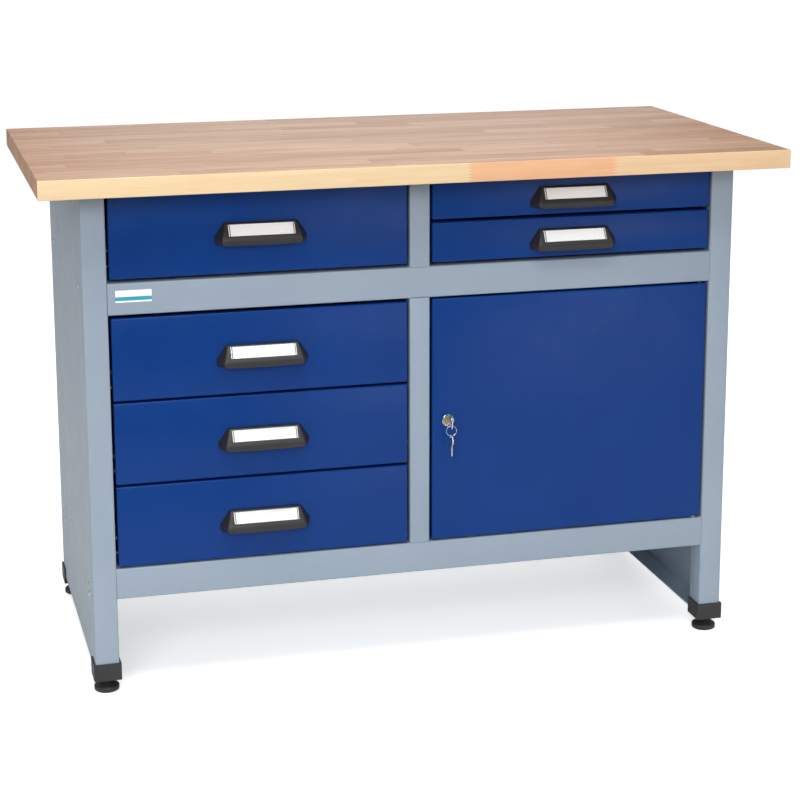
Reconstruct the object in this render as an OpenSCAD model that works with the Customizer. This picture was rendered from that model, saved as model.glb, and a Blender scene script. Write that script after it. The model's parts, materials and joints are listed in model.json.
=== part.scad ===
// Workbench with six drawers and a lockable cupboard: a glued beech worktop on a folded
// sheet-steel frame with four levelling feet. The origin is on the floor, under the middle of
// the worktop. The drawers and the door face -Y.

/* [Worktop] */
// Width of the worktop
top_w = 1200; // [1080:10:1500]
// Depth of the worktop
top_d = 600; // [560:10:760]
// Height of the work surface above the floor
bench_h = 840; // [800:5:1000]
// Thickness of the worktop
top_t = 30; // [22:1:50]
// Worktop beyond each side of the frame
side_overhang = 67; // [20:1:80]
// Worktop beyond the front of the frame
front_overhang = 70; // [40:1:90]
// Worktop beyond the back of the frame
rear_overhang = 30; // [0:1:60]

/* [Frame] */
// Thickness of the frame sheet
sheet_t = 1.5; // [1.2:0.1:2]
// Width of a corner post's face
post_w = 38; // [34:1:50]
// Depth of a corner post
post_d = 40; // [34:1:50]
// Width of the centre post's face
centre_w = 33; // [28:1:45]
// Height of the middle and bottom rails
rail_h = 50; // [40:1:60]
// Height of the opening above the middle rail
upper_open_h = 144; // [136:1:170]
// Underside of the bottom rail above the floor
rail_floor = 157; // [130:1:200]
// Bottom edge of the side panels above the floor
panel_floor = 33; // [31:1:60]
// Height of the trays' side flanges
tray_side_h = 65; // [52:1:80]
// Thickness of the back panel and the cupboard shelf
thin_t = 1.2; // [1:0.1:1.5]

/* [Fronts] */
// Thickness of the front and door sheet
front_t = 1.2; // [1:0.1:2]
// Depth of the folded edge of a front
front_d = 18; // [12:1:22]
// Gap at each side of a front
gap_x = 4.2; // [3:0.1:6]
// Gap between the fronts of the lower drawers
gap_mid = 4; // [2:0.5:6]
// Gap between the two shallow fronts
gap_shallow = 5; // [2:0.5:6]
// Gap under the upper fronts
gap_up_low = 6; // [3:0.5:8]
// Gap over the upper fronts
gap_up_top = 5; // [3:0.5:8]
// Gap under the lower fronts and the door
gap_low = 3; // [2.5:0.5:5]
// Gap over the lower drawers
gap_low_top = 5.5; // [3:0.5:8]
// Gap over the door
gap_door_top = 3.5; // [2.5:0.5:6]

/* [Drawers] */
// Thickness of the drawer box sheet
box_t = 1; // [0.8:0.1:1.5]
// Length of the drawer box behind its front
box_l = 440; // [380:5:440]
// Height of a deep drawer box
box_h = 100; // [80:1:110]
// Height of a shallow drawer box
shallow_box_h = 44; // [38:1:46]
// Space kept between a drawer box and the frame for the runner
runner_w = 11; // [10:0.5:14]
// Height of the sliding rail
slide_h = 24; // [20:1:28]
// Play between the sliding rail and its channel
slide_play = 0.4; // [0.3:0.1:0.6]

/* [Handles] */
// Width of a handle along its lower edge
handle_w = 146; // [120:2:180]
// Width of a handle along its upper edge
handle_top_w = 116; // [100:2:140]
// Height of a handle
handle_h = 34; // [30:1:42]
// How far a handle stands out
handle_d = 20; // [16:1:26]
// Width of a label card
card_w = 104; // [80:1:108]
// Height of a label card
card_h = 19; // [14:1:20]

/* [Lock] */
// Radius of the lock's rosette
rosette_r = 10; // [9:0.5:13]
// Radius of the lock barrel
barrel_r = 8; // [7.5:0.5:9]
// Radius of the turning plug
plug_r = 6; // [5:0.5:6.5]
// Lock axis from the free edge of the door
lock_edge = 26; // [22:1:34]
// How far the cam reaches behind the centre post
cam_catch = 8; // [5:0.5:12]
// Radius of a key's bow
bow_r = 12; // [10:0.5:13]
// Radius of the key ring at the middle of its wire
ring_r = 8.5; // [8:0.5:12]

/* [Feet] */
// Wall of a foot cap
cap_t = 3; // [2:0.5:4]
// Height of a foot cap
cap_h = 28; // [22:1:34]
// Radius of a levelling pad
pad_r = 20; // [16:1:24]
// Radius of a levelling stud
stud_r = 5; // [4:0.5:6]

/* [Hidden] */
$fn = 48;

// Colours
steel_grey = [0.62, 0.68, 0.74];
deep_blue = [0.05, 0.22, 0.48];
zinc = [0.75, 0.76, 0.78];
plastic_black = [0.13, 0.13, 0.14];
beech = [0.88, 0.72, 0.58];
brass = [0.78, 0.68, 0.42];

// Clearances
bore_play = 0.05;     // a shaft or screw in its hole, on the radius
fit_play = 0.3;       // a piece set into a pocket
cut = 1;              // how far a cutting solid runs past what it cuts
join = 0.5;           // how far two solids of one piece run into each other

// Frame planes
frame_top = bench_h - top_t;
frame_x = top_w / 2 - side_overhang;
front_y = -top_d / 2 + front_overhang;
rear_y = top_d / 2 - rear_overhang;
post_x = frame_x - post_w;
centre_x = centre_w / 2;
mid_top = frame_top - upper_open_h;
mid_low = mid_top - rail_h;
rail_top = rail_floor + rail_h;

// Back panel and rear rail
back_y = rear_y - sheet_t - thin_t;
rear_rail_d = 40;
rear_rail_y = back_y - rear_rail_d;

// Front sizes: one column's opening is shared by equal fronts
open_w = post_x - centre_x;
front_w = open_w - 2 * gap_x;
column_x = (post_x + centre_x) / 2;
deep_h = (mid_low - rail_top - gap_low - gap_low_top - 2 * gap_mid) / 3;
upper_h = upper_open_h - gap_up_low - gap_up_top;
shallow_h = (upper_h - gap_shallow) / 2;
door_h = mid_low - rail_top - gap_low - gap_door_top;
upper_z = mid_top + gap_up_low;
lower_z = rail_top + gap_low;

// Drawers 1 to 6: [column side, underside of the front, front height, box height]
// 1 is the upper left, 2 to 4 the lower left from the top, 5 and 6 the shallow pair
DRAWERS = [
    [-1, upper_z, upper_h, box_h],
    [-1, lower_z + 2 * (deep_h + gap_mid), deep_h, box_h],
    [-1, lower_z + deep_h + gap_mid, deep_h, box_h],
    [-1, lower_z, deep_h, box_h],
    [1, upper_z + shallow_h + gap_shallow, shallow_h, shallow_box_h],
    [1, upper_z, shallow_h, shallow_box_h]
];
box_lift = 10;        // drawer floor above the lower edge of its front
slide_lift = 8;       // sliding rail above the drawer floor
slide_t = 1.2;
runner_gap = 2;       // room at a fixed channel's lips and front end
channel_past = 20;    // fixed channel past the rear of a closed drawer
box_y = front_y + front_d;
box_w = open_w - 2 * runner_w;

// Handle section, measured from the face of the front
handle_wall = 3;
handle_top_d = 5;     // depth of the handle along its upper edge
lip_h = 9;            // height of the grip lip
lip_w = handle_w - 20;
handle_base = 0.5;    // thickness of the handle's outline against the front
handle_edge = 2;      // bevel at the ends of the upper edge
handle_drop = 3;      // handle centre below the middle of the front
face_rise = handle_h - lip_h;
face_run = handle_d - handle_top_d;
face_tilt = atan(face_run / face_rise);
card_t = 0.8;
card_margin = 3;      // plastic above the card
boss_x = card_w / 2 + 6;
boss_w = 8;           // width of the two bosses behind the sloping face
boss_h = handle_h / 2 + 8;

// Door hinge
pin_r = 3;
pin_inset = front_d / 2;
hinge_x = column_x + front_w / 2 - pin_inset;
hinge_y = front_y + pin_inset;
pin_reach = 12;       // pin inside the door
pin_head = 2;
pin_head_r = pin_r + 2;

// Lock, with its axis at half the door's height
lock_x = column_x - front_w / 2 + lock_edge;
lock_z = lower_z + door_h / 2;
rosette_t = 3;
plug_sink = 0.4;      // plug behind the rosette's face
plug_front = front_y - rosette_t + plug_sink;
barrel_l = 24;        // barrel behind the face of the door
plug_past = 2;        // plug past the barrel's rear end
plug_end = front_y + barrel_l + plug_past;
nut_t = 4;
nut_w = 4;            // nut wider than the barrel
cam_t = 2;
cam_w = 12;
cam_screw_r = 4;
cam_screw_h = 2.5;
cam_play = 3;         // room round the cam in the centre post
cam_l = lock_edge + gap_x + cam_catch;
cam_reach = norm([cam_l, cam_w / 2]);
cam_rise = sqrt(pow(cam_reach, 2) - pow(lock_edge + gap_x, 2));

// Keys, flat in the plane across X
key_t = 2.2;
key_play = 0.15;
blade_h = 7.5;
blade_l = 18;
stem_l = 1.5;
bow_y = plug_front - stem_l - bow_r;
bow_hole_r = 2.6;
hole_back = 5.5;      // bow's hole in front of its middle
hole_drop = 2.5;      // bow's hole below its middle
wire_r = 0.9;
wire_play = 0.1;
ring_y = bow_y - hole_back;
ring_top_z = lock_z - hole_drop - bow_hole_r + wire_r + wire_play;
ring_low_z = ring_top_z - 2 * ring_r;
spare_bow_r = bow_r - 2;
spare_rim = 2;        // metal over the spare key's hole
spare_hole = spare_bow_r - spare_rim - bow_hole_r;
spare_z = ring_low_z + wire_r + wire_play - bow_hole_r - spare_hole;

// Feet
cap_floor_t = 6;
cap_drop = 10;        // cap below the side panel
cap_low = panel_floor - cap_drop;
cap_boss_r = stud_r + 5;
cap_boss_h = 18;
post_low = cap_low + cap_floor_t;
foot_inset = 22;
foot_x = frame_x - post_w / 2;
foot_y = front_y + foot_inset;
foot_rear_y = rear_y - foot_inset;
pad_h = 9;
pad_rim_h = 6;
pad_edge = 1.5;       // chamfer under the pad's rim
neck_r = 9;
neck_top = cap_low - 5;
stud_top = cap_low + 37;

// Screws
screw_r = 2.5;
screw_head_r = 4.6;
screw_head_t = 2.4;
side_screw_l = 3 * sheet_t;
side_screw_y = [front_y + post_d + 12, rear_y - post_d - 22];
tray_foot = rail_top - tray_side_h;
tray_screw_z = [mid_top - 11, tray_foot + 26, tray_foot + 10];
wood_screw_l = 18;
lip_screw_inset = 80;
lip_screw_y = [front_y + lip_screw_inset, (front_y + rear_y) / 2, rear_y - lip_screw_inset];

// Shelf in the cupboard, on four pegs
shelf_drop = 22;      // shelf below the middle of the cupboard
shelf_z = (rail_top + mid_low) / 2 - shelf_drop;
shelf_fold = 18;
shelf_gap = 2;
shelf_front = front_y + 60;
shelf_rear = back_y - 12;
peg_r = 3;
peg_l = 12;
peg_head_t = 4;
peg_y = [shelf_front + 40, shelf_rear - 50];
strip_w = 20;         // width of the strips that carry the right pegs

// Blank nameplate on the middle rail
plate_w = 56;
plate_h = 19;
plate_t = 0.4;
plate_x = -post_x + 12;
plate_z = mid_low + 20;

// A plain box between two corners
module block(low, high) {
    translate(low) cube(high - low);
}

// A rod along Y from y0 to y1
module rod_y(x, y0, y1, z, r) {
    translate([x, y0, z]) rotate([-90, 0, 0]) cylinder(r = r, h = y1 - y0);
}

// A rod along X from x0 to x1
module rod_x(x0, x1, y, z, r) {
    translate([x0, y, z]) rotate([0, 90, 0]) cylinder(r = r, h = x1 - x0);
}

// An upright rod from z0 to z1
module rod_z(x, y, z0, z1, r) {
    translate([x, y, z0]) cylinder(r = r, h = z1 - z0);
}

module worktop() {
    color(beech) difference() {
        block([-top_w / 2, -top_d / 2, frame_top], [top_w / 2, top_d / 2, bench_h]);
        wood_screw_holes(frame_top - cut, frame_top + wood_screw_l, screw_r + bore_play);
    }
}

// Upright rods at every worktop screw
module wood_screw_holes(z0, z1, r) {
    for (side = [-1, 1]) {
        for (y = lip_screw_y) {
            rod_z(side * (frame_x - post_w / 2), y, z0, z1, r);
        }
        rod_z(side * column_x, rear_rail_y + rear_rail_d / 2, z0, z1, r);
    }
}

module worktop_screws() {
    color(zinc) {
        wood_screw_holes(frame_top - sheet_t - screw_head_t, frame_top - sheet_t, screw_head_r);
        wood_screw_holes(frame_top - sheet_t - join, frame_top + wood_screw_l - cut, screw_r);
    }
}

// Screws through the side sheet into the trays' flanges, on one side
module tray_screws(side, x0, x1, r) {
    for (z = tray_screw_z, y = side_screw_y) {
        rod_x(min(side * x0, side * x1), max(side * x0, side * x1), y, z, r);
    }
}

module side_screws() {
    color(zinc) for (side = [-1, 1]) {
        tray_screws(side, frame_x, frame_x + screw_head_t, screw_head_r);
        tray_screws(side, frame_x - side_screw_l, frame_x + join, screw_r);
    }
}

// One side of the frame in one folded sheet: skin, two posts and two lips
module side_frame() {
    difference() {
        union() {
            block([-frame_x, front_y, panel_floor], [-frame_x + sheet_t, rear_y, frame_top]);
            corner_post(front_y, 1);
            corner_post(rear_y, -1);
            for (z = [panel_floor, frame_top - sheet_t]) {
                block([-frame_x, front_y + post_d, z], [-post_x, rear_y - post_d, z + sheet_t]);
            }
        }
        tray_screws(-1, frame_x - 2 * sheet_t, frame_x + cut, screw_r + bore_play);
        wood_screw_holes(frame_top - sheet_t - cut, frame_top + cut, screw_r + bore_play);
    }
}

// A corner post of the left side, folded from the plane y towards dir
module corner_post(y, dir) {
    inner = y + dir * sheet_t;
    back = y + dir * post_d;
    block([-frame_x, min(y, inner), post_low], [-post_x, max(y, inner), frame_top]);
    block([-frame_x, min(y, back), post_low], [-frame_x + sheet_t, max(y, back), frame_top]);
    block([-post_x - sheet_t, min(y, back), post_low], [-post_x, max(y, back), frame_top]);
}

module left_side() {
    color(steel_grey) side_frame();
}

module right_side() {
    color(steel_grey) mirror([1, 0, 0]) side_frame();
}

// A tray across the frame: front rail, plate, lower front lip and side and rear flanges
module tray(z_low, z_top, side_h, lip_d) {
    inner_x = frame_x - sheet_t;
    y_in = front_y + post_d;
    y_out = rear_y - post_d;
    block([-post_x, front_y, z_low], [post_x, front_y + sheet_t, z_top]);
    block([-post_x, front_y, z_low], [post_x, front_y + lip_d, z_low + sheet_t]);
    block([-post_x, front_y, z_top - sheet_t], [post_x, back_y, z_top]);
    block([-inner_x, y_in, z_top - sheet_t], [inner_x, y_out, z_top]);
    block([-post_x, back_y - sheet_t, z_top - side_h], [post_x, back_y, z_top]);
    for (side = [-1, 1]) {
        x_out = side * inner_x;
        x_in = side * (inner_x - sheet_t);
        block([min(x_out, x_in), y_in, z_top - side_h], [max(x_out, x_in), y_out, z_top]);
    }
}

module mid_tray() {
    color(steel_grey) difference() {
        tray(mid_low, mid_top, rail_h / 2, 2 * pin_inset);
        tray_holes();
        rod_z(hinge_x, hinge_y, mid_low - cut, mid_low + sheet_t + cut, pin_r + bore_play);
    }
}

module floor_tray() {
    color(steel_grey) difference() {
        tray(rail_floor, rail_top, tray_side_h, 2 * pin_inset);
        tray_holes();
        rod_z(hinge_x, hinge_y, rail_top - sheet_t - cut, rail_top + cut, pin_r + bore_play);
    }
}

// Holes for the side screws in both trays' side flanges
module tray_holes() {
    for (side = [-1, 1]) {
        tray_screws(side, frame_x - side_screw_l, frame_x, screw_r + bore_play);
    }
}

// A partition: a skin on the cupboard's side, with a hollow post at each end
module partition(z_low, z_top, y_end) {
    block([centre_x - sheet_t, front_y, z_low], [centre_x, y_end, z_top]);
    block([-centre_x, front_y, z_low], [centre_x, front_y + sheet_t, z_top]);
    block([-centre_x, front_y, z_low], [-centre_x + sheet_t, front_y + post_d, z_top]);
    block([-centre_x, y_end - sheet_t, z_low], [centre_x, y_end, z_top]);
    block([-centre_x, y_end - post_d, z_low], [-centre_x + sheet_t, y_end, z_top]);
}

module upper_partition() {
    color(steel_grey) partition(mid_top, frame_top, rear_rail_y);
}

// The lower partition has a slot for the cam, as high as its corner needs on the way round
module lower_partition() {
    color(steel_grey) difference() {
        partition(rail_top, mid_low, back_y);
        block([centre_x - sheet_t - cut, plug_end - cam_play, lock_z - cam_w / 2 - cam_play],
            [centre_x + cut, plug_end + cam_t + cam_play, lock_z + cam_rise + cam_play]);
        peg_holes(centre_x - sheet_t - cut, centre_x + cut);
    }
}

module rear_rail() {
    color(steel_grey) difference() {
        union() {
            block([-post_x, back_y - sheet_t, frame_top - rear_rail_d],
                [post_x, back_y, frame_top]);
            block([-post_x, rear_rail_y, frame_top - sheet_t], [post_x, back_y, frame_top]);
        }
        wood_screw_holes(frame_top - sheet_t - cut, frame_top + cut, screw_r + bore_play);
    }
}

module back_panel() {
    color(steel_grey) block([-post_x, back_y, tray_foot], [post_x, back_y + thin_t, frame_top]);
}

module cupboard_shelf() {
    x0 = centre_x + shelf_gap;
    x1 = post_x - shelf_gap;
    color(steel_grey) {
        block([x0, shelf_front, shelf_z], [x1, shelf_rear, shelf_z + thin_t]);
        block([x0, shelf_front, shelf_z - shelf_fold], [x1, shelf_front + thin_t, shelf_z]);
        block([x0, shelf_rear - thin_t, shelf_z - shelf_fold], [x1, shelf_rear, shelf_z]);
    }
}

// Rods at the shelf pegs' places in the partition
module peg_holes(x0, x1) {
    for (y = peg_y) {
        rod_x(x0, x1, y, shelf_z - peg_r, peg_r + bore_play);
    }
}

// Pegs: two through the partition, two on angle strips that stand on the floor tray
module shelf_pegs() {
    skin_x = centre_x - sheet_t;
    peg_z = shelf_z - peg_r;
    color(zinc) for (y = peg_y) {
        rod_x(skin_x - join, centre_x + peg_l, y, peg_z, peg_r);
        rod_x(skin_x - peg_head_t, skin_x, y, peg_z, 2 * peg_r);
        rod_x(post_x - peg_l, post_x + sheet_t, y, peg_z, peg_r);
        block([post_x, y - strip_w / 2, rail_top],
            [post_x + sheet_t, y + strip_w / 2, shelf_z + peg_l]);
    }
}

module nameplate() {
    color("white") block([plate_x, front_y - plate_t, plate_z],
        [plate_x + plate_w, front_y, plate_z + plate_h]);
}

// Cap of the front left post; the others are its mirror images
module foot_cap() {
    y_rear = front_y + post_d + join;
    cap_top = cap_low + cap_h;
    difference() {
        union() {
            difference() {
                block([-frame_x - cap_t, front_y - cap_t, cap_low],
                    [-post_x + cap_t, y_rear, cap_top]);
                block([-frame_x - bore_play, front_y - bore_play, post_low],
                    [-post_x + bore_play, y_rear + cut, cap_top + cut]);
            }
            rod_z(-foot_x, foot_y, cap_low, cap_low + cap_boss_h, cap_boss_r);
        }
        rod_z(-foot_x, foot_y, cap_low - cut, cap_top, stud_r + bore_play);
    }
}

module foot_caps() {
    color(plastic_black) for (sx = [0, 1], sy = [0, 1]) {
        mirror([sx, 0, 0]) translate([0, sy * (front_y + rear_y), 0]) mirror([0, sy, 0])
            foot_cap();
    }
}

// Levelling foot: pad, neck and stud in one turned shape
module levelling_foot(sx, y) {
    color(plastic_black) translate([sx * foot_x, y, 0]) rotate_extrude() polygon([
        [0, 0], [pad_r - pad_edge, 0], [pad_r, pad_edge], [pad_r, pad_rim_h],
        [pad_r - 2 * pad_edge, pad_h], [neck_r + pad_edge, pad_h + pad_edge],
        [neck_r, pad_h + 2 * pad_edge], [neck_r, neck_top], [stud_r, neck_top],
        [stud_r, stud_top - 1], [stud_r - 1, stud_top], [0, stud_top]
    ]);
}

module foot_front_left() { levelling_foot(-1, foot_y); }
module foot_front_right() { levelling_foot(1, foot_y); }
module foot_rear_left() { levelling_foot(-1, foot_rear_y); }
module foot_rear_right() { levelling_foot(1, foot_rear_y); }

// A folded pan: face towards -Y, edges folded back
module pan(x_mid, z_low, h) {
    x0 = x_mid - front_w / 2;
    x1 = x_mid + front_w / 2;
    difference() {
        block([x0, front_y, z_low], [x1, front_y + front_d, z_low + h]);
        block([x0 + front_t, front_y + front_t, z_low + front_t],
            [x1 - front_t, front_y + front_d + cut, z_low + h - front_t]);
    }
}

module door() {
    color(deep_blue) difference() {
        pan(column_x, lower_z, door_h);
        rod_y(lock_x, front_y - cut, front_y + front_t + cut, lock_z, barrel_r + bore_play);
        rod_z(hinge_x, hinge_y, lower_z - cut, lower_z + door_h + cut, pin_r + bore_play);
    }
}

// Upper and lower pivots, each with a head; the lower one carries the door on a collar
module hinge_pins() {
    lip_top = mid_low + sheet_t;
    plate_low = rail_top - sheet_t;
    collar = gap_low - 2 * bore_play;
    color(zinc) {
        rod_z(hinge_x, hinge_y, lower_z + door_h - pin_reach, lip_top + pin_head, pin_r);
        rod_z(hinge_x, hinge_y, lip_top, lip_top + pin_head, pin_head_r);
        rod_z(hinge_x, hinge_y, plate_low - pin_head, lower_z + pin_reach, pin_r);
        rod_z(hinge_x, hinge_y, plate_low - pin_head, plate_low, pin_head_r);
        rod_z(hinge_x, hinge_y, rail_top, rail_top + collar, pin_head_r);
    }
}

module lock_barrel() {
    color(zinc) difference() {
        union() {
            rod_y(lock_x, front_y - rosette_t, front_y, lock_z, rosette_r);
            rod_y(lock_x, front_y - join, front_y + barrel_l, lock_z, barrel_r);
        }
        rod_y(lock_x, front_y - rosette_t - cut, front_y + barrel_l + cut, lock_z,
            plug_r + bore_play);
    }
}

module lock_nut() {
    y0 = front_y + front_t;
    color(zinc) difference() {
        translate([lock_x, y0, lock_z]) rotate([-90, 0, 0])
            cylinder(r = barrel_r + nut_w, h = nut_t, $fn = 6);
        rod_y(lock_x, y0 - cut, y0 + nut_t + cut, lock_z, barrel_r + bore_play);
    }
}

module lock_plug() {
    slot_x = key_t / 2 + key_play;
    slot_z = blade_h / 2 + key_play;
    color(brass) difference() {
        rod_y(lock_x, plug_front, plug_end, lock_z, plug_r);
        block([lock_x - slot_x, plug_front - cut, lock_z - slot_z],
            [lock_x + slot_x, plug_front + blade_l + key_play, lock_z + slot_z]);
    }
}

// Cam with its screw; it points up when the door is unlocked
module lock_cam() {
    color(zinc) {
        block([lock_x - cam_w / 2, plug_end, lock_z - cam_w / 2],
            [lock_x + cam_w / 2, plug_end + cam_t, lock_z + cam_l]);
        rod_y(lock_x, plug_end + cam_t, plug_end + cam_t + cam_screw_h, lock_z, cam_screw_r);
    }
}

module key() {
    color(zinc) difference() {
        union() {
            rod_x(lock_x - key_t / 2, lock_x + key_t / 2, bow_y, lock_z, bow_r);
            block([lock_x - key_t / 2, bow_y, lock_z - blade_h / 2],
                [lock_x + key_t / 2, plug_front + blade_l, lock_z + blade_h / 2]);
        }
        rod_x(lock_x - key_t, lock_x + key_t, ring_y, lock_z - hole_drop, bow_hole_r);
    }
}

module key_ring() {
    color(zinc) translate([lock_x, ring_y, ring_top_z - ring_r]) rotate([90, 0, 0])
        rotate_extrude() translate([ring_r, 0]) circle(r = wire_r, $fn = 24);
}

module spare_key() {
    color(zinc) difference() {
        union() {
            rod_x(lock_x - key_t / 2, lock_x + key_t / 2, ring_y, spare_z, spare_bow_r);
            block([lock_x - key_t / 2, ring_y - blade_h / 2, spare_z - spare_bow_r - blade_l],
                [lock_x + key_t / 2, ring_y + blade_h / 2, spare_z]);
        }
        rod_x(lock_x - key_t, lock_x + key_t, ring_y, spare_z + spare_hole, bow_hole_r);
    }
}

// Fixed channel of one runner at side s of a column, open towards the drawer
module channel(d, s) {
    x_wall = d[0] * column_x + s * open_w / 2;
    z0 = slide_z(d) - slide_play - slide_t;
    z1 = slide_z(d) + slide_h + slide_play + slide_t;
    x_web = x_wall - s * sheet_t;
    x_lip = x_wall - s * (runner_w - runner_gap);
    y0 = box_y + runner_gap;
    y1 = min(box_y + box_l, rear_rail_y) + channel_past;
    block([min(x_wall, x_web), y0, z0], [max(x_wall, x_web), y1, z1]);
    for (z = [z0, z1 - slide_t]) {
        block([min(x_wall, x_lip), y0, z], [max(x_wall, x_lip), y1, z + slide_t]);
    }
}

// Underside of a drawer's sliding rails
function slide_z(d) = d[1] + box_lift + slide_lift;

module runner_channels_left() {
    color(zinc) for (i = [0 : 3], s = [-1, 1]) channel(DRAWERS[i], s);
}

module runner_channels_right() {
    color(zinc) for (i = [4 : 5], s = [-1, 1]) channel(DRAWERS[i], s);
}

// Sliding rails of one drawer: channels that open away from the box
module slides(d) {
    color(zinc) for (s = [-1, 1]) {
        x_box = d[0] * column_x + s * box_w / 2;
        x_web = x_box + s * slide_t;
        x_lip = x_box + s * (runner_w - sheet_t - runner_gap / 2);
        block([min(x_box, x_web), box_y, slide_z(d)],
            [max(x_box, x_web), box_y + box_l, slide_z(d) + slide_h]);
        for (z = [slide_z(d), slide_z(d) + slide_h - slide_t]) {
            block([min(x_box, x_lip), box_y, z], [max(x_box, x_lip), box_y + box_l, z + slide_t]);
        }
    }
}

// Open box of one drawer
module drawer_box(d) {
    x0 = d[0] * column_x - box_w / 2;
    x1 = d[0] * column_x + box_w / 2;
    z0 = d[1] + box_lift;
    color(steel_grey) difference() {
        block([x0, box_y, z0], [x1, box_y + box_l, z0 + d[3]]);
        block([x0 + box_t, box_y + box_t, z0 + box_t],
            [x1 - box_t, box_y + box_l - box_t, z0 + d[3] + cut]);
    }
}

module drawer_front(d) {
    color(deep_blue) pan(d[0] * column_x, d[1], d[2]);
}

// Place for a handle: middle of the front's face, a little below centre
module at_handle(d) {
    translate([d[0] * column_x, front_y, d[1] + d[2] / 2 - handle_drop]) children();
}

// Solid wedge of a handle; inset and run shrink and open it for the finger space
module handle_wedge(inset, run) {
    low = -handle_h / 2 - run;
    high = handle_h / 2 - inset;
    low_x = handle_w / 2 - inset;
    high_x = handle_top_w / 2 - inset;
    lip_x = lip_w / 2 - inset;
    edge_x = high_x - handle_edge;
    hull() {
        rotate([90, 0, 0]) translate([0, 0, -run]) linear_extrude(handle_base + run)
            polygon([[-low_x, low], [low_x, low], [high_x, high], [-high_x, high]]);
        block([-edge_x, -handle_top_d + inset / 2, high - handle_base], [edge_x, 0, high]);
        block([-lip_x, -handle_d + inset, low], [lip_x, 0, -handle_h / 2 + lip_h]);
    }
}

// Frame on the sloping face: X along it, Z up the slope, Y out of it from its top edge
module on_face() {
    translate([0, -handle_top_d, handle_h / 2]) rotate([-face_tilt, 0, 0]) children();
}

module handle(d) {
    color(plastic_black) at_handle(d) difference() {
        union() {
            difference() {
                handle_wedge(0, 0);
                handle_wedge(handle_wall, cut);
            }
            intersection() {
                handle_wedge(0, 0);
                for (s = [-1, 1]) {
                    block([s * boss_x - boss_w / 2, -handle_d, handle_h / 2 - boss_h],
                        [s * boss_x + boss_w / 2, 0, handle_h / 2]);
                }
            }
        }
        on_face() block([-card_w / 2 - fit_play, -cut, -card_margin - card_h - fit_play],
            [card_w / 2 + fit_play, card_t, -card_margin + fit_play]);
    }
}

module card(d) {
    color("white") at_handle(d) on_face()
        block([-card_w / 2, 0, -card_margin - card_h], [card_w / 2, card_t, -card_margin]);
}

module drawer_1_box() { drawer_box(DRAWERS[0]); }
module drawer_2_box() { drawer_box(DRAWERS[1]); }
module drawer_3_box() { drawer_box(DRAWERS[2]); }
module drawer_4_box() { drawer_box(DRAWERS[3]); }
module drawer_5_box() { drawer_box(DRAWERS[4]); }
module drawer_6_box() { drawer_box(DRAWERS[5]); }
module drawer_1_front() { drawer_front(DRAWERS[0]); }
module drawer_2_front() { drawer_front(DRAWERS[1]); }
module drawer_3_front() { drawer_front(DRAWERS[2]); }
module drawer_4_front() { drawer_front(DRAWERS[3]); }
module drawer_5_front() { drawer_front(DRAWERS[4]); }
module drawer_6_front() { drawer_front(DRAWERS[5]); }
module drawer_1_handle() { handle(DRAWERS[0]); }
module drawer_2_handle() { handle(DRAWERS[1]); }
module drawer_3_handle() { handle(DRAWERS[2]); }
module drawer_4_handle() { handle(DRAWERS[3]); }
module drawer_5_handle() { handle(DRAWERS[4]); }
module drawer_6_handle() { handle(DRAWERS[5]); }
module drawer_1_card() { card(DRAWERS[0]); }
module drawer_2_card() { card(DRAWERS[1]); }
module drawer_3_card() { card(DRAWERS[2]); }
module drawer_4_card() { card(DRAWERS[3]); }
module drawer_5_card() { card(DRAWERS[4]); }
module drawer_6_card() { card(DRAWERS[5]); }
module drawer_1_slides() { slides(DRAWERS[0]); }
module drawer_2_slides() { slides(DRAWERS[1]); }
module drawer_3_slides() { slides(DRAWERS[2]); }
module drawer_4_slides() { slides(DRAWERS[3]); }
module drawer_5_slides() { slides(DRAWERS[4]); }
module drawer_6_slides() { slides(DRAWERS[5]); }

worktop();
left_side();
right_side();
mid_tray();
floor_tray();
upper_partition();
lower_partition();
rear_rail();
back_panel();
cupboard_shelf();
shelf_pegs();
nameplate();
side_screws();
worktop_screws();
foot_caps();
runner_channels_left();
runner_channels_right();
foot_front_left();
foot_front_right();
foot_rear_left();
foot_rear_right();
door();
hinge_pins();
lock_barrel();
lock_nut();
lock_plug();
lock_cam();
key();
key_ring();
spare_key();
drawer_1_box();
drawer_1_front();
drawer_1_handle();
drawer_1_card();
drawer_1_slides();
drawer_2_box();
drawer_2_front();
drawer_2_handle();
drawer_2_card();
drawer_2_slides();
drawer_3_box();
drawer_3_front();
drawer_3_handle();
drawer_3_card();
drawer_3_slides();
drawer_4_box();
drawer_4_front();
drawer_4_handle();
drawer_4_card();
drawer_4_slides();
drawer_5_box();
drawer_5_front();
drawer_5_handle();
drawer_5_card();
drawer_5_slides();
drawer_6_box();
drawer_6_front();
drawer_6_handle();
drawer_6_card();
drawer_6_slides();
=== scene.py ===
import json
import math
from functools import partial

import bmesh
import bpy
from mathutils import Matrix, Vector

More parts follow.
